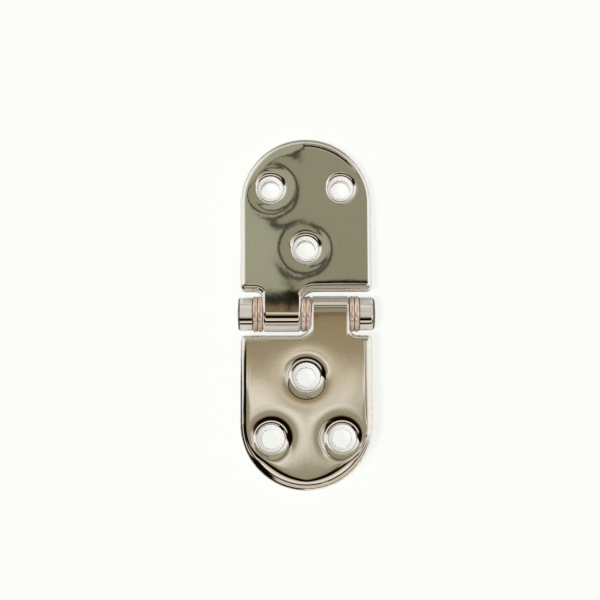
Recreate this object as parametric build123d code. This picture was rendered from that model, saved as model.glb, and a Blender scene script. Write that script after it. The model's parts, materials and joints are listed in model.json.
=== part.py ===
from build123d import *
from math import sqrt
import os

# A friction hinge for a small hatch or locker lid. Two equal cast leaves meet at a pivot that lies
# along X. The leaves lie flat and open, one towards +Y and one towards -Y, with their polished
# faces up. The origin is the middle of the pivot axis. All sizes are in millimetres.

# The leaves, one casting used twice
leaf_length = 51.0  # from the pivot axis to the tip of the round end
leaf_width = 38.0
leaf_thickness = 6.0
knuckle_diameter = 10.4
knuckle_length = 11.2
shoulder_gap = 1.3  # between a knuckle and the other leaf's shoulder
rim_round = 1.8  # rolled edge round the polished face
neck_round = 1.0  # softer edges of the neck and of the knuckle's ends
corner_round = 1.3  # outer corners of the shoulders, seen from above
outer_root_round = 2.3  # inner corner on the outer side of the neck, seen from above
middle_root_round = 4.0  # inner corner on the side of the neck towards the middle
under_round = 0.8  # hollow between the knuckle and the back of the leaf
back_break = 0.3  # small break of the edge round the back
facing_clearance = 0.15  # round the washers, where the casting is cut back for them

# Three countersunk holes in each leaf, on the corners of a triangle with equal sides
hole_spacing = 20.4
inner_hole_distance = 18.5  # from the pivot axis to the hole nearest to it
hole_diameter = 5.5
countersink_diameter = 8.5
countersink_angle = 90.0
countersink_round = 2.0  # polished lip of the countersink

# The bronze friction washers, in three pairs
washer_thickness = 1.4
washer_diameter = 10.4
washer_bevel = 0.35
running_gap = 0.02  # between the two washers of a pair

# The pivot: a barrel nut whose sleeve carries both knuckles, and the screw that clamps the stack
sleeve_diameter = 6.0
sleeve_clearance = 0.05  # round the sleeve, in the knuckles and washers
sleeve_end_gap = 0.5  # left before the screw head, so that the screw can pull tight
head_diameter = 9.6
head_length = 4.6
head_bevel = 0.2  # edge of both heads beside the washers
screw_head_round = 1.3
nut_head_bevel = 0.4
nut_head_dome = 0.5
shank_diameter = 4.0
shank_length = 20.0
shank_tip_bevel = 0.5
thread_clearance = 0.02  # round the shank, in the sleeve
thread_spare_depth = 2.0  # bore left beyond the tip of the shank
socket_flats = 3.0
socket_depth = 2.4

# Sizes that follow from those above
top_z = knuckle_diameter / 2
back_z = top_z - leaf_thickness
shoulder_y = top_z + shoulder_gap
end_centre_y = leaf_length - leaf_width / 2
hole_row_distance = inner_hole_distance + hole_spacing * sqrt(3) / 2
bore_diameter = sleeve_diameter + 2 * sleeve_clearance
pair_length = 2 * washer_thickness + running_gap
knuckle_start_x = pair_length / 2
knuckle_end_x = knuckle_start_x + knuckle_length
head_x = knuckle_end_x + pair_length
tolerance = 0.001  # for picking corners and edges by their place


# A round bar along X that starts at a given place
def round_bar(start_x, length, diameter):
    bar = Cylinder(diameter / 2, length, align=(Align.CENTER, Align.CENTER, Align.MIN))
    return Pos(start_x, 0, 0) * Rot(0, 90, 0) * bar


# A hexagonal hole along X for a key, from a given place towards +X
def key_socket(start_x):
    hexagon = RegularPolygon(socket_flats / 2, 6, major_radius=False)
    return Pos(start_x, 0, 0) * Rot(0, 90, 0) * extrude(hexagon, socket_depth)


# The outline of a leaf from above, with the start of the neck on its left. The neck's length is
# only what its inner corners need, because the knuckle overlaps it.
def leaf_outline():
    straight = Rectangle(leaf_width, end_centre_y - shoulder_y, align=(Align.CENTER, Align.MIN))
    neck_middle_x = -(knuckle_start_x + knuckle_end_x) / 2
    neck = Rectangle(knuckle_length, 3 * middle_root_round)
    outline = Pos(0, shoulder_y) * straight
    outline += Pos(0, end_centre_y) * Circle(leaf_width / 2)
    outline += Pos(neck_middle_x, shoulder_y) * neck
    shoulder = shoulder_y - tolerance, shoulder_y + tolerance
    corners = outline.vertices().filter_by_position(Axis.Y, *shoulder).sort_by(Axis.X)
    outline = fillet([corners[0], corners[-1]], corner_round)
    roots = outline.vertices().filter_by_position(Axis.Y, *shoulder)
    beside_neck = -knuckle_end_x - tolerance, -knuckle_start_x + tolerance
    roots = roots.filter_by_position(Axis.X, *beside_neck).sort_by(Axis.X)
    outline = fillet(roots[0], outer_root_round)
    roots = outline.vertices().filter_by_position(Axis.Y, *shoulder)
    return fillet(roots.sort_by_distance((-knuckle_start_x, shoulder_y))[0], middle_root_round)


# The plate of a leaf, with its polished face rolled off all round except across the neck
def plate():
    body = extrude(Pos(0, 0, back_z) * leaf_outline(), leaf_thickness)
    back_edges = body.edges().filter_by_position(Axis.Z, back_z - tolerance, back_z + tolerance)
    body = chamfer(back_edges.sort_by(Axis.Y)[1:], back_break)
    face_edges = body.edges().filter_by_position(Axis.Z, top_z - tolerance, top_z + tolerance)
    return fillet(face_edges.sort_by(Axis.Y)[1:], rim_round)


# The knuckle and its neck. Both have the same rounded section where they meet above the axis, so
# the neck's level face rolls over into the knuckle.
def knuckle():
    across = Plane(origin=(-knuckle_start_x, 0, 0), x_dir=(-1, 0, 0), z_dir=(0, 1, 0))
    neck_section = Pos(0, back_z) * Rectangle(
        knuckle_length, leaf_thickness, align=(Align.MIN, Align.MIN)
    )
    barrel_section = Rectangle(knuckle_length, top_z, align=(Align.MIN, Align.MIN))
    neck_section = fillet(neck_section.vertices().group_by(Axis.Y)[-1], neck_round)
    barrel_section = fillet(barrel_section.vertices().group_by(Axis.Y)[-1], neck_round)
    neck = extrude(across * neck_section, shoulder_y + middle_root_round)
    body = neck + revolve(across * barrel_section, Axis.X)
    meeting = (-knuckle_start_x, sqrt(top_z**2 - back_z**2), back_z)
    return fillet(body.edges().filter_by(Axis.X).sort_by_distance(meeting)[0], under_round)


# The three hole centres of a leaf
def hole_centres():
    side = hole_spacing / 2
    return [(0, inner_hole_distance), (side, hole_row_distance), (-side, hole_row_distance)]


# A leaf in the place of the upper one
def leaf():
    body = plate() + knuckle()
    for start_x in (-head_x, -knuckle_start_x):
        body -= round_bar(start_x, pair_length, washer_diameter + 2 * facing_clearance)
    body -= round_bar(-head_x, head_x, bore_diameter)
    drill = CounterSinkHole(
        hole_diameter / 2,
        countersink_diameter / 2,
        depth=2 * leaf_thickness,
        counter_sink_angle=countersink_angle,
    )
    body -= [Pos(x, y, top_z) * drill for x, y in hole_centres()]
    circles = body.edges().filter_by(GeomType.CIRCLE)
    lips = circles.filter_by(lambda edge: abs(edge.radius - countersink_diameter / 2) < tolerance)
    return fillet(lips, countersink_round)


# One bronze washer, bevelled at its rim
def washer(start_x):
    disc = round_bar(start_x, washer_thickness, washer_diameter)
    disc = chamfer(disc.edges().filter_by(GeomType.CIRCLE), washer_bevel)
    return disc - round_bar(start_x, washer_thickness, bore_diameter)


# The barrel nut: a low domed head at the left end, and a sleeve through the whole stack
def barrel_nut():
    end_x = -head_x - head_length
    radius = head_diameter / 2
    dome_radius = (radius**2 + nut_head_dome**2) / (2 * nut_head_dome)
    head = round_bar(end_x, head_length, head_diameter)
    head &= Pos(end_x + dome_radius, 0, 0) * Sphere(dome_radius)
    rims = head.edges().filter_by(GeomType.CIRCLE).sort_by(Axis.X)
    head = chamfer(rims[0], nut_head_bevel)
    head = chamfer(head.edges().filter_by(GeomType.CIRCLE).sort_by(Axis.X)[-1], head_bevel)
    sleeve_end_x = head_x - sleeve_end_gap
    sleeve = round_bar(-head_x, head_x + sleeve_end_x, sleeve_diameter)
    bore_x = head_x - shank_length - thread_spare_depth
    bore = round_bar(bore_x, sleeve_end_x - bore_x, shank_diameter + 2 * thread_clearance)
    return head + sleeve - bore - key_socket(end_x)


# The pivot screw: a head with a rounded rim at the right end, and a shank inside the sleeve
def pivot_screw():
    head = round_bar(head_x, head_length, head_diameter)
    rims = head.edges().filter_by(GeomType.CIRCLE).sort_by(Axis.X)
    head = fillet(rims[-1], screw_head_round)
    head = chamfer(head.edges().filter_by(GeomType.CIRCLE).sort_by(Axis.X)[0], head_bevel)
    shank = round_bar(head_x - shank_length, shank_length, shank_diameter)
    shank = chamfer(shank.edges().filter_by(GeomType.CIRCLE).sort_by(Axis.X)[0], shank_tip_bevel)
    return head + shank - key_socket(head_x + head_length - socket_depth)


# Each piece by its name. A pair of washers lies on each side of each knuckle, and the pair in the
# middle serves both.
def pieces():
    upper = leaf()
    second = washer_thickness + running_gap
    return {
        "fixed_leaf": upper,
        "swing_leaf": upper.rotate(Axis.Z, 180),
        "barrel_nut": barrel_nut(),
        "pivot_screw": pivot_screw(),
        "washer_nut_outer": washer(-head_x),
        "washer_nut_inner": washer(-head_x + second),
        "washer_middle_fixed": washer(-knuckle_start_x),
        "washer_middle_swing": washer(-knuckle_start_x + second),
        "washer_screw_inner": washer(knuckle_end_x),
        "washer_screw_outer": washer(knuckle_end_x + second),
    }


if __name__ == "__main__":
    os.makedirs("parts", exist_ok=True)
    for name, piece in pieces().items():
        export_step(piece, f"parts/{name}.step")
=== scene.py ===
import json
import math

import bpy
import bmesh
from mathutils import Matrix, Vector


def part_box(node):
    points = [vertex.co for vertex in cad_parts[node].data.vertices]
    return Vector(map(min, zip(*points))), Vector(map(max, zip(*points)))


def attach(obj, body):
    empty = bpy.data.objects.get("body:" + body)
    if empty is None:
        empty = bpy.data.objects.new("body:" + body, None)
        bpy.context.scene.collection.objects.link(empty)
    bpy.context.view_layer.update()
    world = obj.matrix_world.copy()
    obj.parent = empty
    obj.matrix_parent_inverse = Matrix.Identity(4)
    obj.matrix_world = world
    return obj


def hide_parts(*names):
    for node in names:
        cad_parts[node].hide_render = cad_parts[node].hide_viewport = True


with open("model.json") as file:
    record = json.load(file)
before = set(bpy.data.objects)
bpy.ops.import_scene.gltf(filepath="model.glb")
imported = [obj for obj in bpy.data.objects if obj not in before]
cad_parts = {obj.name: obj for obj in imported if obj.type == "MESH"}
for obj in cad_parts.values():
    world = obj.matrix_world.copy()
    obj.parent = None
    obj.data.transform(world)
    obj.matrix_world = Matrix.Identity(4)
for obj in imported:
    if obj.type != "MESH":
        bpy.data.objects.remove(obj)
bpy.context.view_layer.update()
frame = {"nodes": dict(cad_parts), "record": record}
nodes = frame["nodes"]
mm = 0.001
print("stage: frame loaded")


# sRGB hex to the linear colour that Blender's sockets take
def colour(hexValue):
    channels = [int(hexValue[i:i + 2], 16) / 255 for i in (1, 3, 5)]
    linear = [c / 12.92 if c <= 0.04045 else ((c + 0.055) / 1.055) ** 2.4 for c in channels]
    return (*linear, 1.0)


# Adds a node with its settings; an input is either another node's socket or a plain value
def addNode(tree, kind, inputs=None, **settings):
    node = tree.nodes.new(kind)
    for name, value in settings.items():
        setattr(node, name, value)
    for key, value in (inputs or {}).items():
        if isinstance(value, bpy.types.NodeSocket):
            tree.links.new(value, node.inputs[key])
        else:
            node.inputs[key].default_value = value
    return node


# A sum, product or the like of one to three numbers
def calc(tree, operation, *values):
    node = addNode(tree, "ShaderNodeMath", dict(enumerate(values)), operation=operation)
    return node.outputs[0]


# The product of any number of values
def product(tree, first, *others):
    for other in others:
        first = calc(tree, "MULTIPLY", first, other)
    return first


# From one number to another, by a share of 0 to 1
def between(tree, share, first, second):
    change = calc(tree, "SUBTRACT", second, first)
    return calc(tree, "MULTIPLY_ADD", share, change, first)


# A sum or the like of vectors, the length of one, or with "SCALE" one times a number
def vectorCalc(tree, operation, first, second=None):
    inputs = {0: first}
    if second is not None:
        inputs["Scale" if operation == "SCALE" else 1] = second
    node = addNode(tree, "ShaderNodeVectorMath", inputs, operation=operation)
    return node.outputs["Value" if operation == "LENGTH" else "Vector"]


def split(tree, vector):
    return addNode(tree, "ShaderNodeSeparateXYZ", {0: vector}).outputs


def join(tree, x=0.0, y=0.0, z=0.0):
    return addNode(tree, "ShaderNodeCombineXYZ", {0: x, 1: y, 2: z}).outputs[0]


# 0 up to one value, 1 beyond another, smooth between; the values may fall
def rise(tree, value, start, end):
    inputs = {"Value": value, "From Min": start, "From Max": end}
    node = addNode(tree, "ShaderNodeMapRange", inputs, interpolation_type="SMOOTHSTEP")
    return node.outputs["Result"]


# 1 inside edges given as (begins, full, starts to fade, gone); with only two it doesn't end
def band(tree, value, edges):
    share = rise(tree, value, edges[0], edges[1])
    if len(edges) == 4:
        share = product(tree, share, rise(tree, value, edges[3], edges[2]))
    return share


def noise(tree, place, scale, detail, roughness=0.5):
    inputs = {"Vector": place, "Scale": scale, "Detail": detail, "Roughness": roughness}
    return addNode(tree, "ShaderNodeTexNoise", inputs).outputs


def mixColour(tree, share, first, second):
    inputs = {0: share, 6: first, 7: second}
    return addNode(tree, "ShaderNodeMix", inputs, data_type="RGBA").outputs[2]


def mixShader(tree, share, first, second):
    return addNode(tree, "ShaderNodeMixShader", {0: share, 1: first, 2: second}).outputs[0]


# Colours along a ramp, from stops given as (value, hex)
def rampColour(tree, value, stops):
    low, high = stops[0][0], stops[-1][0]
    place = calc(tree, "DIVIDE", calc(tree, "SUBTRACT", value, low), high - low)
    node = addNode(tree, "ShaderNodeValToRGB", {"Fac": place})
    elements = node.color_ramp.elements
    elements.remove(elements[-1])
    elements[0].position = 0.0
    elements[0].color = colour(stops[0][1])
    for stop, hexValue in stops[1:]:
        elements.new((stop - low) / (high - low)).color = colour(hexValue)
    return node.outputs["Color"]


# A smooth curve through points given as (value, result)
def curveValue(tree, value, points):
    lowest = min(result for _, result in points)
    height = max(result for _, result in points) - lowest
    first = points[0][0]
    length = points[-1][0] - first
    scaled = [((at - first) / length, (result - lowest) / height) for at, result in points]
    place = calc(tree, "DIVIDE", calc(tree, "SUBTRACT", value, first), length)
    node = addNode(tree, "ShaderNodeFloatCurve", {"Value": place})
    curve = node.mapping.curves[0]
    ends = curve.points[0], curve.points[-1]
    for point, location in zip(ends, (scaled[0], scaled[-1])):
        point.location = location
    for location in scaled[1:-1]:
        curve.points.new(*location)
    node.mapping.update()
    return calc(tree, "MULTIPLY_ADD", node.outputs["Value"], height, lowest)


# An empty node tree for a material or the world
def clearTree(owner):
    owner.use_nodes = True
    owner.node_tree.nodes.clear()
    return owner.node_tree


# The place on a piece, in millimetres
def objectPlace(tree):
    place = addNode(tree, "ShaderNodeTexCoord").outputs["Object"]
    return vectorCalc(tree, "SCALE", place, 1 / mm)


def addObject(name, data):
    thing = bpy.data.objects.new(name, data)
    bpy.context.scene.collection.objects.link(thing)
    return thing


# A square mesh at a height, tilted about the X axis before it is lifted
def squareMesh(name, size, height, tilt=0.0):
    mesh = bpy.data.meshes.new(name)
    shape = bmesh.new()
    turn = Matrix.Rotation(tilt, 3, "X")
    bmesh.ops.create_grid(shape, x_segments=1, y_segments=1, size=size)
    bmesh.ops.rotate(shape, verts=shape.verts, cent=(0, 0, 0), matrix=turn)
    bmesh.ops.translate(shape, verts=shape.verts, vec=(0, 0, height))
    shape.to_mesh(mesh)
    shape.free()
    return mesh


# Camera: a phone held over the hinge, a little on the near side of square
cameraSetup = {
    "place": (-5 * mm, -42 * mm, 408.6 * mm),
    "lookAt": (-1.7 * mm, 4.14 * mm, 0),
    "fieldOfView": math.radians(24.05),
    "roll": math.radians(-0.25),
    "clipStart": 10 * mm,
}


def makeCamera():
    data = bpy.data.cameras.new("camera")
    data.angle = cameraSetup["fieldOfView"]
    data.clip_start = cameraSetup["clipStart"]
    camera = addObject("camera", data)
    place = Vector(cameraSetup["place"])
    ahead = (Vector(cameraSetup["lookAt"]) - place).normalized()
    right = ahead.cross(Vector((0, 1, 0))).normalized()
    aim = Matrix((right, right.cross(ahead), -ahead)).transposed()
    roll = Matrix.Rotation(cameraSetup["roll"], 3, "Z")
    camera.matrix_world = Matrix.Translation(place) @ (aim @ roll).to_4x4()
    bpy.context.scene.camera = camera


# Studio: a white table that the hinge lies on with its pivot and the end of the fixed leaf, one
# soft lamp from the upper left, and the room overhead that the polished metal mirrors
studio = {
    "background": "#FDFEF9",
    "lampTurn": (math.radians(12), math.radians(-17), 0),
    "lampSpread": math.radians(10),
    "lampStrength": 2.3,
    "skyLevel": 0.3,
    "canopyHeight": 400 * mm,
    "canopySize": 1200 * mm,
}

# What the metal mirrors along the line from the near horizon over the zenith to the far one, in
# two ramps: (degrees from the zenith, near side negative, colour)
nearStops = [
    (-90, "#2A1A14"), (-81, "#4A2E26"), (-79, "#C9BBA6"), (-66, "#DDD2C0"), (-62, "#17100D"),
    (-50, "#0C0807"), (-47, "#F2EBDF"), (-41, "#F6F0E4"), (-38, "#7A4B3A"), (-36, "#E9DECB"),
    (-33.5, "#DCCFB8"), (-32, "#2A1612"), (-30, "#080505"), (-16, "#0C0807"), (-13.5, "#5F543C"),
    (-12, "#978E78"), (-9, "#9A917B"), (-6.5, "#A29A84"), (-4.2, "#E8E2D5"), (-2.2, "#E4DDCE"),
    (0.3, "#C9BDA5"), (2.6, "#9F9175"), (5.3, "#978868"), (5.55, "#6A4634"), (5.8, "#6A4634"),
    (6.0, "#978868"), (6.3, "#978868"), (6.45, "#0C0A06"), (8.0, "#0C0A06"), (8.25, "#928F78"),
    (10, "#928F78"),
]
farStops = [
    (10, "#928F78"), (21, "#94917B"), (26, "#A09C88"), (30.6, "#A6A290"), (31.4, "#2E1E14"),
    (36.6, "#2E1E14"), (37.6, "#B4B09D"), (47.4, "#BAB5A4"), (48.4, "#4E2620"), (53, "#3C1E1A"),
    (54.4, "#CFCBBD"), (78, "#DAD6CA"), (80, "#15100E"), (90, "#15100E"),
]

# How those bands run, and what makes them uneven. Every place in the room is given in degrees
# along (near side negative) and across (left side negative).
roomBands = {
    "nearArch": (2.0, -3.0),  # along, from where to where they turn to run round the zenith
    "farArch": (20.0, 26.0),
    "rampChange": 9.0,
    "mottleScale": 1.6,
    "mottleSize": 1.1,  # how far the mottles shift the bands
    "fleckScale": 5.0,
    "fleckSize": 1.6,
    "dullScale": 0.28,
    "dullRange": (0.45, 0.7),
    "dullAlong": (-16.0, -12.0, 1.0, 4.0),
    "dullShare": 0.45,
    "dullColour": "#948870",
    "detail": 1.0,
}


def bandedColour(tree, along, fromZenith, degrees):
    # both ends are arched, so there the ramp runs outward from the zenith
    nearArched = rise(tree, along, *roomBands["nearArch"])
    reach = between(tree, nearArched, along, product(tree, fromZenith, -1.0))
    farArched = rise(tree, along, *roomBands["farArch"])
    outward = calc(tree, "SUBTRACT", fromZenith, along)
    reach = calc(tree, "MULTIPLY_ADD", farArched, outward, reach)
    detail = roomBands["detail"]
    mottle = noise(tree, degrees, roomBands["mottleScale"], detail)["Fac"]
    fleck = noise(tree, degrees, roomBands["fleckScale"], detail)["Fac"]
    shift = (roomBands["mottleSize"] + roomBands["fleckSize"]) / 2
    waved = calc(tree, "SUBTRACT", reach, shift)
    waved = calc(tree, "MULTIPLY_ADD", mottle, roomBands["mottleSize"], waved)
    waved = calc(tree, "MULTIPLY_ADD", fleck, roomBands["fleckSize"], waved)
    isFar = calc(tree, "GREATER_THAN", waved, roomBands["rampChange"])
    near = rampColour(tree, waved, nearStops)
    seen = mixColour(tree, isFar, near, rampColour(tree, waved, farStops))
    cloud = noise(tree, degrees, roomBands["dullScale"], detail)["Fac"]
    dull = product(
        tree, rise(tree, cloud, *roomBands["dullRange"]),
        band(tree, waved, roomBands["dullAlong"]), roomBands["dullShare"],
    )
    return mixColour(tree, dull, seen, colour(roomBands["dullColour"])), mottle


# The cable that hangs across the far half, frayed at its near end, and the ceiling that is paler
# to its left
cable = {
    "path": [  # degrees along, degrees across
        (5.0, -0.77), (7.3, -0.8), (8.0, -1.4), (8.6, -1.45), (10.0, -0.81), (11.2, 0.24),
        (12.4, -0.83), (13.6, -1.48), (14.8, -0.99), (16.0, -2.47), (17.4, 0.6), (18.4, 0.9),
        (20.0, 1.0), (24.0, 1.1), (60.0, 0.5),
    ],
    "driftStep": 0.1,
    "wobbleScale": 2.2,
    "wobbleDetail": 3.0,
    "wobble": 0.6,
    "edge": (0.34, 0.22),  # from its middle line, where it begins and where it is full
    "along": (5.6, 6.4, 50.0, 60.0),
    "colour": "#15130A",
    "frayedAlong": (7.6, 8.2, 9.0, 10.0),
    "frayedWidening": 0.2,
    "gapRange": (0.47, 0.44),
    "gapShare": 0.95,
    "paleEdge": (0.3, -0.3),
    "paleAlong": (7.0, 8.0, 50.0, 60.0),
    "paleColour": "#A3A38E",
}


def withCable(tree, seen, across, along, degrees, mottle):
    step = cable["driftStep"]
    hanging = curveValue(tree, along, cable["path"])
    beyond = curveValue(tree, calc(tree, "ADD", along, step), cable["path"])
    drift = calc(tree, "DIVIDE", calc(tree, "SUBTRACT", beyond, hanging), step)
    # the distance square to the cable, so that its width stays even where it runs crosswise
    stretch = calc(tree, "SQRT", calc(tree, "MULTIPLY_ADD", drift, drift, 1.0))
    fromCable = calc(tree, "DIVIDE", calc(tree, "SUBTRACT", across, hanging), stretch)
    speckle = noise(tree, degrees, cable["wobbleScale"], cable["wobbleDetail"])["Fac"]
    wobble = calc(tree, "MULTIPLY_ADD", speckle, cable["wobble"], -cable["wobble"] / 2)
    fromCable = calc(tree, "ADD", fromCable, wobble)
    pale = product(
        tree, rise(tree, fromCable, *cable["paleEdge"]), band(tree, along, cable["paleAlong"])
    )
    seen = mixColour(tree, pale, seen, colour(cable["paleColour"]))
    frayed = band(tree, along, cable["frayedAlong"])
    nearer = calc(tree, "MULTIPLY_ADD", frayed, -cable["frayedWidening"], 1.0)
    fromCable = calc(tree, "ABSOLUTE", product(tree, fromCable, nearer))
    gaps = product(tree, rise(tree, mottle, *cable["gapRange"]), frayed)
    onCable = product(
        tree, rise(tree, fromCable, *cable["edge"]), band(tree, along, cable["along"]),
        calc(tree, "MULTIPLY_ADD", gaps, -cable["gapShare"], 1.0),
    )
    return mixColour(tree, onCable, seen, colour(cable["colour"]))


# The bright wall on the right, which begins further out over the far half
rightWall = {
    "start": 30.0,
    "farStart": 42.0,
    "changeAlong": (4.0, 8.0),
    "width": 14.0,
    "along": (-26.0, -6.0),
    "colour": "#FFFFFF",
}

# What else is beside the bands: (edges across, edges along, share, colour)
besidePatches = [
    ((-14.0, -54.0), (-2.0, 6.0), 1.0, "#FFFFFF"),  # bright wall on the left
    ((9.0, 10.5), (-14.0, -9.0, 4.0, 7.0), 0.8, "#F8F5EE"),  # pale panel on the right
    ((10.9, 11.5, 13.0, 13.6), (-24.0, -12.0, 4.0, 7.0), 0.75, "#5E4A38"),  # its narrow trim
    ((20.4, 21.0, 24.5, 25.1), (-24.0, -12.0, 4.0, 7.0), 0.75, "#5E4A38"),  # its wide trim
    ((-60.0, -53.0, -16.0, -13.0), (-22.0, -14.0, 3.0, 4.6), 1.0, "#0C0807"),  # doorway
    ((-34.0, -40.0), (-30.0, -38.0), 1.0, "#0C0807"),  # dark corner at the near left
]


def withWalls(tree, seen, across, along):
    change = rise(tree, along, *rightWall["changeAlong"])
    start = between(tree, change, rightWall["start"], rightWall["farStart"])
    past = calc(tree, "SUBTRACT", across, start)
    inside = product(
        tree, rise(tree, past, 0.0, rightWall["width"]), rise(tree, along, *rightWall["along"])
    )
    seen = mixColour(tree, inside, seen, colour(rightWall["colour"]))
    for acrossEdges, alongEdges, share, hexValue in besidePatches:
        inside = band(tree, across, acrossEdges)
        inside = product(tree, inside, band(tree, along, alongEdges), share)
        seen = mixColour(tree, inside, seen, colour(hexValue))
    return seen


# The room's colour in a direction, given as a vector of length 1
def roomColour(tree, direction):
    level = vectorCalc(tree, "NORMALIZE", vectorCalc(tree, "MULTIPLY", direction, (1, 1, 0)))
    fromZenith = calc(tree, "ARCCOSINE", split(tree, direction)["Z"])
    fromZenith = product(tree, fromZenith, math.degrees(1))
    degrees = vectorCalc(tree, "SCALE", level, fromZenith)
    parts = split(tree, degrees)
    across, along = parts["X"], parts["Y"]
    seen, mottle = bandedColour(tree, along, fromZenith, degrees)
    seen = withCable(tree, seen, across, along, degrees, mottle)
    return withWalls(tree, seen, across, along)


# The metal mirrors the room in the world, while the eye sees an even background
def makeWorld():
    world = bpy.data.worlds.new("room")
    bpy.context.scene.world = world
    tree = clearTree(world)

    def backdrop(shown, strength=1.0):
        inputs = {"Color": shown, "Strength": strength}
        return addNode(tree, "ShaderNodeBackground", inputs).outputs[0]

    rays = addNode(tree, "ShaderNodeLightPath").outputs
    room = roomColour(tree, addNode(tree, "ShaderNodeTexCoord").outputs["Generated"])
    sky = backdrop(colour("#FFFFFF"), studio["skyLevel"])
    light = mixShader(tree, rays["Is Glossy Ray"], sky, backdrop(room))
    seen = backdrop(colour(studio["background"]))
    final = mixShader(tree, rays["Is Camera Ray"], light, seen)
    addNode(tree, "ShaderNodeOutputWorld", {"Surface": final})


# The part of the room that is near enough to shift as the eye moves over the metal
def makeCanopy():
    mesh = squareMesh("canopy", studio["canopySize"], studio["canopyHeight"])
    canopy = addObject("canopy", mesh)
    for ray in ("camera", "diffuse", "transmission", "volume_scatter", "shadow"):
        setattr(canopy, "visible_" + ray, False)
    ceiling = bpy.data.materials.new("ceiling")
    tree = clearTree(ceiling)
    place = addNode(tree, "ShaderNodeTexCoord").outputs["Object"]
    room = roomColour(tree, vectorCalc(tree, "NORMALIZE", place))
    glow = addNode(tree, "ShaderNodeEmission", {"Color": room}).outputs[0]
    addNode(tree, "ShaderNodeOutputMaterial", {"Surface": glow})
    mesh.materials.append(ceiling)


def makeLamp():
    data = bpy.data.lights.new("lamp", "SUN")
    data.energy = studio["lampStrength"]
    data.angle = studio["lampSpread"]
    lamp = addObject("lamp", data)
    lamp.rotation_euler = studio["lampTurn"]
    lamp.visible_glossy = False


# White paper: the eye sees it even and almost without shade, and the metal's rolled ends mirror
# a painted dark shade on it beyond both ends of the hinge, whose places are given in millimetres
paperTable = {
    "size": 800 * mm,
    "leafThickness": 6.0 * mm,
    "gap": 0.02 * mm,
    "colour": "#F8F9F4",
    "glow": 0.86,
    # painted shade that only the metal's reflections see, beyond both ends of the hinge
    "shadeColour": "#1B1411",
    "nearSlant": 0.45,
    "nearEdge": (-31.0, -33.0),
    "nearSide": (2.0, -6.0),
    "farEdge": (51.5, 53.0),
    "farShare": 0.6,
}


def makeTable():
    leafLow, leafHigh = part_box("fixed_leaf")
    backZ = leafHigh.z - paperTable["leafThickness"]
    tilt = math.atan2(backZ - leafLow.z, leafHigh.y)
    mesh = squareMesh("table", paperTable["size"], leafLow.z - paperTable["gap"], tilt)
    table = addObject("table", mesh)

    paper = bpy.data.materials.new("whitePaper")
    tree = clearTree(paper)

    def glowing(hexValue):
        return addNode(tree, "ShaderNodeEmission", {"Color": colour(hexValue)}).outputs[0]

    rays = addNode(tree, "ShaderNodeLightPath").outputs
    shown = calc(tree, "MAXIMUM", rays["Is Camera Ray"], rays["Is Transmission Ray"])
    inputs = {"Color": colour(paperTable["colour"])}
    matt = addNode(tree, "ShaderNodeBsdfDiffuse", inputs).outputs[0]
    share = product(tree, shown, paperTable["glow"])
    seen = mixShader(tree, share, matt, glowing(studio["background"]))
    parts = split(tree, objectPlace(tree))
    # a painted dark shade beyond both ends of the hinge, seen only by glossy rays
    slanted = calc(tree, "MULTIPLY_ADD", parts["X"], paperTable["nearSlant"], parts["Y"])
    nearEnd = rise(tree, slanted, *paperTable["nearEdge"])
    nearEnd = product(tree, nearEnd, rise(tree, parts["X"], *paperTable["nearSide"]))
    farEnd = rise(tree, parts["Y"], *paperTable["farEdge"])
    farEnd = product(tree, farEnd, paperTable["farShare"])
    shaded = product(tree, calc(tree, "MAXIMUM", nearEnd, farEnd), rays["Is Glossy Ray"])
    seen = mixShader(tree, shaded, seen, glowing(paperTable["shadeColour"]))
    addNode(tree, "ShaderNodeOutputMaterial", {"Surface": seen})
    mesh.materials.append(paper)


# Shape of the buffed steel: hand buffing rounds the faces off towards their outline, sinks them
# round each screw hole by a different amount and leaves them slightly wavy. Lengths are in
# millimetres and slopes in degrees. Pairs of slopes are for the fixed and for the swing leaf.
buffing = {
    "halfWidth": 19.0,
    "endCentre": 32.0,
    "endFromPivot": (34.0, 45.0),  # where the round end's slope takes over from the sides'
    "rimRound": 1.8,
    "sideSlopes": (0.5, 4.0),
    "sideReach": 0.8,
    "endSlopes": (10.4, 22.4),
    "endReach": 0.96,
    "cornerReach": 0.65,  # how much further it reaches at the swing leaf's diagonals
    "shoulder": 6.5,
    "shoulderSlope": 1.7,
    "shoulderReach": 1.2,
    "shoulderAcross": (-2.4, 3.6),  # beside the neck, where it begins and where it is full
    "warpMiddle": 28.0,
    "warpHalfLength": 22.0,
    "warpAcross": (-0.43, -0.32, 0.53),  # of the fixed leaf's face
    "warpAlong": (0.49, -0.36, -0.15),
    "lipRadius": 5.08,
    "dips": (  # hole centre, slope beside the lip, how fast it fades
        (0, 18.5, 2.86, 2.49), (10.2, 36.167, 1.8, 2.2), (-10.2, 36.167, 3.48, 2.17),
        (0, -18.5, 3.2, 2.6), (0, -18.5, 11.0, 0.95),
        (10.2, -36.167, 3.0, 2.4), (10.2, -36.167, 13.0, 1.1),
        (-10.2, -36.167, 3.0, 2.4), (-10.2, -36.167, 13.0, 1.1),
    ),
    "wavePitch": 14.0,
    "waveSlope": 0.1,
    "waveDetail": 1.0,
    "grainPitch": 0.8,
    "grainSlope": 0.07,
    "grainDetail": 2.0,
    "headLean": 11.0,
    "faceUpright": (0.80, 0.98),  # how far up a surface has to look to count as a face
    "faceHeight": (4.0, 5.0),
    "faceFromPivot": (5.0, 7.5),
}


def slopeOf(degrees):
    return math.tan(math.radians(degrees))


# How far a value is past a limit, and 0 before it
def pastLimit(tree, value, limit):
    return calc(tree, "MAXIMUM", calc(tree, "SUBTRACT", value, limit), 0.0)


# A slope that fades evenly with distance
def fading(tree, distance, slope, reach):
    fade = calc(tree, "EXPONENT", product(tree, distance, -1 / reach))
    return product(tree, fade, slopeOf(slope))


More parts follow.
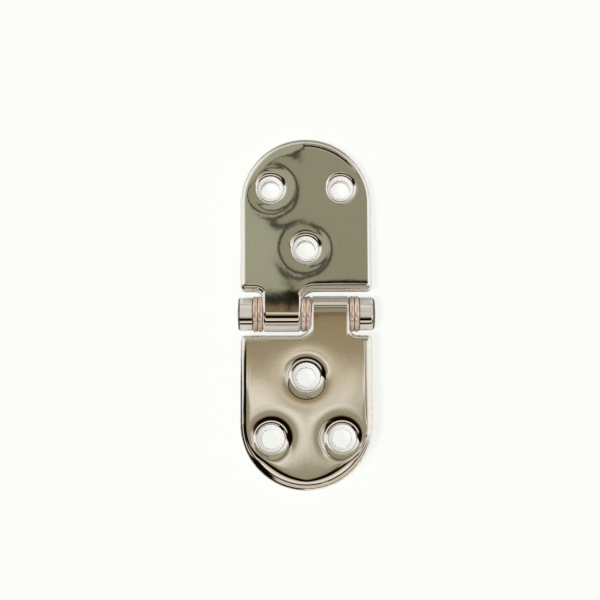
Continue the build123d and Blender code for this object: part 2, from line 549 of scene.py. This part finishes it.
# Outward from the straight sides and from the round end
def outlineSlope(tree, x, y, onFixed):
    beyond = pastLimit(tree, y, buffing["endCentre"])
    fromSpine = join(tree, x, beyond)
    outward = vectorCalc(tree, "NORMALIZE", fromSpine)
    edge = calc(tree, "SUBTRACT", buffing["halfWidth"], vectorCalc(tree, "LENGTH", fromSpine))
    inward = pastLimit(tree, edge, buffing["rimRound"])

    def rolled(reach, slopes):
        share = calc(tree, "DIVIDE", inward, reach)
        fade = calc(tree, "EXPONENT", product(tree, share, share, -1.0))
        fixed, swing = slopeOf(slopes[0]), slopeOf(slopes[1])
        return product(tree, fade, between(tree, onFixed, swing, fixed))

    directions = split(tree, outward)
    diagonal = calc(tree, "ABSOLUTE", product(tree, directions["X"], directions["Y"]))
    diagonal = product(tree, diagonal, calc(tree, "SUBTRACT", 1.0, onFixed))
    further = calc(tree, "MULTIPLY_ADD", diagonal, 2 * buffing["cornerReach"], 1.0)
    endLean = rolled(product(tree, further, buffing["endReach"]), buffing["endSlopes"])
    sideLean = rolled(buffing["sideReach"], buffing["sideSlopes"])
    atEnd = rise(tree, y, *buffing["endFromPivot"])
    return vectorCalc(tree, "SCALE", outward, between(tree, atEnd, sideLean, endLean))


# Down towards the wide shoulder beside the neck
def shoulderSlope(tree, x, y):
    inward = pastLimit(tree, y, buffing["shoulder"] + buffing["rimRound"])
    downhill = fading(tree, inward, -buffing["shoulderSlope"], buffing["shoulderReach"])
    beside = rise(tree, x, *buffing["shoulderAcross"])
    return join(tree, y=product(tree, downhill, beside))


# A slight warp of a whole face
def warpSlope(tree, x, y):
    u = calc(tree, "DIVIDE", x, buffing["halfWidth"])
    v = calc(tree, "SUBTRACT", y, buffing["warpMiddle"])
    v = calc(tree, "DIVIDE", v, buffing["warpHalfLength"])
    uShare, twistShare, vShare = (slopeOf(value) for value in buffing["warpAcross"])
    warpX = calc(tree, "MULTIPLY_ADD", product(tree, u, v), twistShare, product(tree, u, uShare))
    warpX = calc(tree, "MULTIPLY_ADD", v, vShare, warpX)
    uShare, vShare, bowShare = (slopeOf(value) for value in buffing["warpAlong"])
    warpY = calc(tree, "MULTIPLY_ADD", v, vShare, product(tree, u, uShare))
    warpY = calc(tree, "MULTIPLY_ADD", product(tree, u, u), bowShare, warpY)
    return join(tree, warpX, warpY)


# The slope of the buffed face, as a level vector that the normal leans by, and the distance to
# the middle of the nearest hole
def buffedSlope(tree, place):
    parts = split(tree, place)
    side = calc(tree, "SIGN", parts["Y"])  # the swing leaf is the fixed one turned half round
    onFixed = calc(tree, "GREATER_THAN", parts["Y"], 0.0)
    x = product(tree, parts["X"], side)
    y = calc(tree, "ABSOLUTE", parts["Y"])
    total = outlineSlope(tree, x, y, onFixed)
    for fixedOnly in (shoulderSlope(tree, x, y), warpSlope(tree, x, y)):
        total = vectorCalc(tree, "ADD", total, vectorCalc(tree, "SCALE", fixedOnly, onFixed))
    total = vectorCalc(tree, "MULTIPLY", total, join(tree, side, side))

    # into the dip round each hole
    level = vectorCalc(tree, "MULTIPLY", place, (1, 1, 0))
    nearest = None
    for holeX, holeY, slope, reach in buffing["dips"]:
        toHole = vectorCalc(tree, "SUBTRACT", (holeX, holeY, 0), level)
        distance = vectorCalc(tree, "LENGTH", toHole)
        nearest = distance if nearest is None else calc(tree, "MINIMUM", nearest, distance)
        dip = fading(tree, pastLimit(tree, distance, buffing["lipRadius"]), slope, reach)
        toHole = vectorCalc(tree, "SCALE", vectorCalc(tree, "NORMALIZE", toHole), dip)
        total = vectorCalc(tree, "ADD", total, toHole)
    return total, nearest


def randomSlope(tree, place, pitch, slope, detail):
    middle = (0.5, 0.5, 0.5)
    uneven = vectorCalc(tree, "SUBTRACT", noise(tree, place, 1 / pitch, detail)["Color"], middle)
    size = 4 * slopeOf(slope)  # because the noise seldom leaves the middle half of its range
    return vectorCalc(tree, "MULTIPLY", uneven, (size, size, 0.0))


# The leaning normal of the steel, and the distance to the middle of the nearest hole
def steelNormal(tree, place, normal, onHead):
    parts = split(tree, place)
    onFace = product(
        tree, rise(tree, split(tree, normal)["Z"], *buffing["faceUpright"]),
        rise(tree, parts["Z"], *buffing["faceHeight"]),
        rise(tree, calc(tree, "ABSOLUTE", parts["Y"]), *buffing["faceFromPivot"]),
    )
    buffed, fromHole = buffedSlope(tree, place)
    leaning = vectorCalc(tree, "ADD", normal, vectorCalc(tree, "SCALE", buffed, onFace))
    for kind in ("wave", "grain"):
        pitch, slope, detail = (buffing[kind + part] for part in ("Pitch", "Slope", "Detail"))
        uneven = randomSlope(tree, place, pitch, slope, detail)
        leaning = vectorCalc(tree, "ADD", leaning, uneven)
    headLean = join(tree, y=product(tree, onHead, slopeOf(buffing["headLean"])))
    toWorld = addNode(
        tree, "ShaderNodeVectorTransform", {0: vectorCalc(tree, "ADD", leaning, headLean)},
        vector_type="NORMAL", convert_from="OBJECT", convert_to="WORLD",
    )
    return toWorld.outputs[0], fromHole


# Cast stainless steel: a bright mirror on the faces and the rolled edges, dull and pale on the
# ground walls and back, chalky white in the freshly cut holes. Lengths are in millimetres.
stainless = {
    "roughness": 0.045,
    "markColours": ("#F4F1EB", "#F0ECE5"),  # of the faint marks of the buffing wheel
    "markRange": (0.35, 0.65),
    "markScale": 0.8,
    "markStretch": (0.4, 4.8),  # lengthwise on the fixed leaf and crosswise on the swing leaf
    "markDetail": 3.0,
    "markRoughness": 0.6,
    "groundColour": "#EDEBE5",
    "groundRoughness": 0.45,
    "groundChalk": 0.8,
    "leafFromPivot": (5.3, 6.4),
    "middle": (0.5, -0.5),  # along, between the far and the near side of the pivot
    "pivotPolish": (0.46, 0.62),  # lowest upward share that is polished, far and near side
    "leafPolish": 0.3,
    "polishWidths": (0.12, 0.30),  # over which the polish sets in, on the pivot and on a leaf
    "cutColour": "#FBFAF6",
    "cutRoughness": 0.5,
    "cutRadius": (3.85, 3.65),
    "swingCutLess": 0.25,  # how much less the cut shows on the swing leaf
    "betweenLeaves": (1.0, -1.0),
    "backUpright": (-0.9, -0.5),
    "burrColour": "#6B453A",  # painted dark reflection line where the cone meets the polished lip
    "paintedDarkLipLineRadius": (3.62, 3.72, 3.86, 3.98),
    "paintedDarkLipLineShare": 0.6,
    "headFromMiddle": (15.3, 15.5),
    "headRadius": (5.3, 5.1),
    "headRimColour": "#5A5248",  # painted dark reflection on the turned edge of the two heads
    "paintedDarkHeadRimSideways": (0.35, 0.55, 0.9, 0.96),
    "crown": (-1.6, -0.8),  # along, the satin upper part of the two heads
    "crownChalk": 0.6,
    "chalkMetal": 0.9,  # how much less metallic the chalky parts are
}


def makeStainless():
    material = bpy.data.materials.new("buffedStainlessSteel")
    tree = clearTree(material)
    place = objectPlace(tree)
    normal = addNode(tree, "ShaderNodeTexCoord").outputs["Normal"]
    parts, facing = split(tree, place), split(tree, normal)
    fromPivot = calc(tree, "ABSOLUTE", parts["Y"])
    fromMiddle = calc(tree, "ABSOLUTE", parts["X"])
    onHead = product(
        tree, rise(tree, fromMiddle, *stainless["headFromMiddle"]),
        rise(tree, fromPivot, *stainless["headRadius"]),
    )
    leaning, fromHole = steelNormal(tree, place, normal, onHead)

    # the cones and holes, without the back round them
    onSwing = rise(tree, parts["Y"], *stainless["betweenLeaves"])
    fromHole = calc(tree, "MULTIPLY_ADD", onSwing, -stainless["swingCutLess"], fromHole)
    offBack = rise(tree, facing["Z"], *stainless["backUpright"])
    inHole = product(tree, rise(tree, fromHole, *stainless["cutRadius"]), offBack)
    # a painted dark reflection line round each hole's lip
    burr = band(tree, fromHole, stainless["paintedDarkLipLineRadius"])
    burr = product(tree, burr, offBack, stainless["paintedDarkLipLineShare"])

    # polished where the buffing wheel reaches, ground elsewhere
    onLeaf = rise(tree, fromPivot, *stainless["leafFromPivot"])
    nearSide = rise(tree, parts["Y"], *stainless["middle"])
    lowest = between(tree, nearSide, *stainless["pivotPolish"])
    lowest = between(tree, onLeaf, lowest, stainless["leafPolish"])
    width = between(tree, onLeaf, *stainless["polishWidths"])
    polished = calc(tree, "DIVIDE", calc(tree, "SUBTRACT", facing["Z"], lowest), width)
    polished = calc(tree, "MAXIMUM", rise(tree, polished, 0.0, 1.0), inHole)
    ground = calc(tree, "SUBTRACT", 1.0, polished)
    roughness = stainless["roughness"]
    for share, more in ((inHole, "cutRoughness"), (ground, "groundRoughness")):
        roughness = calc(tree, "MULTIPLY_ADD", share, stainless[more], roughness)

    onFixed = calc(tree, "GREATER_THAN", parts["Y"], 0.0)
    slow, fast = stainless["markStretch"]
    stretch = join(
        tree, between(tree, onFixed, slow, fast), between(tree, onFixed, fast, slow), 1.0
    )
    marks = noise(
        tree, vectorCalc(tree, "MULTIPLY", place, stretch), stainless["markScale"],
        stainless["markDetail"], stainless["markRoughness"],
    )["Fac"]
    marked = (colour(hexValue) for hexValue in stainless["markColours"])
    buffed = mixColour(tree, rise(tree, marks, *stainless["markRange"]), *marked)
    tint = mixColour(tree, polished, colour(stainless["groundColour"]), buffed)
    sideways = calc(tree, "ABSOLUTE", facing["X"])
    # a painted dark reflection on the sideways-facing edges of the two heads
    headRim = product(tree, band(tree, sideways, stainless["paintedDarkHeadRimSideways"]), onHead)
    # over the colour of the cut holes go the painted dark reflections on the heads' edges and
    # the hole lips
    for share, name in ((inHole, "cut"), (headRim, "headRim"), (burr, "burr")):
        tint = mixColour(tree, share, tint, colour(stainless[name + "Colour"]))

    # cast walls, freshly cut cones and the crowns of the heads look chalky
    crown = product(tree, onHead, rise(tree, parts["Y"], *stainless["crown"]))
    chalky = calc(tree, "MAXIMUM", product(tree, ground, stainless["groundChalk"]), inHole)
    chalky = calc(tree, "MAXIMUM", chalky, product(tree, crown, stainless["crownChalk"]))
    metallic = calc(tree, "MULTIPLY_ADD", chalky, -stainless["chalkMetal"], 1.0)
    inputs = {
        "Base Color": tint, "Metallic": metallic, "Roughness": roughness, "Normal": leaning,
    }
    metal = addNode(tree, "ShaderNodeBsdfPrincipled", inputs).outputs[0]
    addNode(tree, "ShaderNodeOutputMaterial", {"Surface": metal})
    return material


# Turned bronze: pale and bright, with faint rings from the lathe and painted shade in the
# grooves beside the crown of the rim. Lengths are in millimetres.
bronze = {
    "baseColour": "#FFF0E2",
    "ringColour": "#EFC9AE",
    "ringPitch": 0.22,
    "ringDetail": 2.0,
    "ringRange": (0.35, 0.7),
    "ringDepth": 0.004,
    "paintedGrooveShadeColour": "#7A4B3A",
    "paintedGrooveShadeRadius": (5.10, 4.98),
    "paintedGrooveShadeShare": 0.7,
    "roughness": 0.18,
    "metallic": 0.66,  # the surface has gone a little dull
}


def makeBronze():
    material = bpy.data.materials.new("turnedBronze")
    tree = clearTree(material)
    place = objectPlace(tree)
    radius = vectorCalc(tree, "LENGTH", vectorCalc(tree, "MULTIPLY", place, (0, 1, 1)))
    profile = join(tree, split(tree, place)["X"], radius)
    rings = noise(tree, profile, 1 / bronze["ringPitch"], bronze["ringDetail"])["Fac"]
    share = rise(tree, rings, *bronze["ringRange"])
    tint = mixColour(tree, share, colour(bronze["baseColour"]), colour(bronze["ringColour"]))
    # painted shade in the grooves at the foot of the rim, where the washers meet
    paintedGrooveShade = product(tree, rise(tree, radius, *bronze["paintedGrooveShadeRadius"]), bronze["paintedGrooveShadeShare"])
    tint = mixColour(tree, paintedGrooveShade, tint, colour(bronze["paintedGrooveShadeColour"]))
    bumpInputs = {"Height": rings, "Distance": bronze["ringDepth"] * mm, "Strength": 1.0}
    bump = addNode(tree, "ShaderNodeBump", bumpInputs).outputs["Normal"]
    inputs = {
        "Base Color": tint, "Metallic": bronze["metallic"], "Roughness": bronze["roughness"],
        "Normal": bump,
    }
    metal = addNode(tree, "ShaderNodeBsdfPrincipled", inputs).outputs[0]
    addNode(tree, "ShaderNodeOutputMaterial", {"Surface": metal})
    return material


# A washer with the convex rim of the real one, in the place of its plain CAD disc
washerShape = {
    "rimHeight": 0.35 * mm,  # how far the rounded rim stands up
    "boreRadius": 3.05 * mm,
    "rimSteps": 10,
    "turnSteps": 96,
    "mergeDistance": 0.0005 * mm,
    "flatShare": 0.999,  # faces that look along the pivot more than this stay flat
}


def makeWasher(name, body, material):
    low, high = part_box(name)
    middle, half = (low.x + high.x) / 2, (high.x - low.x) / 2
    rim, bore, steps = (washerShape[key] for key in ("rimHeight", "boreRadius", "rimSteps"))
    foot = high.z - rim
    outline = [(low.x, bore), (low.x, foot)]
    for step in range(1, steps):
        turn = math.pi * (step / steps - 0.5)
        outline.append((middle + half * math.sin(turn), foot + rim * math.cos(turn)))
    outline += [(high.x, foot), (high.x, bore)]
    shape = bmesh.new()
    ring = [shape.verts.new((x, 0, z)) for x, z in outline]
    edges = [shape.edges.new((ring[i], ring[(i + 1) % len(ring)])) for i in range(len(ring))]
    bmesh.ops.spin(
        shape, geom=ring + edges, cent=(0, 0, 0), axis=(1, 0, 0), dvec=(0, 0, 0),
        angle=2 * math.pi, steps=washerShape["turnSteps"], use_merge=True,
    )
    bmesh.ops.remove_doubles(shape, verts=shape.verts, dist=washerShape["mergeDistance"])
    bmesh.ops.recalc_face_normals(shape, faces=shape.faces)
    for face in shape.faces:
        face.smooth = abs(face.normal.x) < washerShape["flatShare"]
    mesh = bpy.data.meshes.new(name + "_turned")
    shape.to_mesh(mesh)
    shape.free()
    mesh.materials.append(material)
    washer = addObject(name + "_turned", mesh)
    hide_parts(name)
    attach(washer, body)


# Gives each CAD node its material, and each washer its turned piece
def dressNodes():
    steel, washerBronze = makeStainless(), makeBronze()
    for body, names in frame["record"]["behaviour"]["bodies"].items():
        for name in names:
            isWasher = name.startswith("washer")
            if isWasher:
                makeWasher(name, body, washerBronze)
            for slot in nodes[name].material_slots:
                slot.material = washerBronze if isWasher else steel


makeCamera()
print("stage: camera made")
makeWorld()
makeCanopy()
makeLamp()
print("stage: room and lamp made")
makeTable()
print("stage: table made")
dressNodes()
print("stage: hinge dressed")
bpy.context.scene.view_settings.view_transform = "Standard"
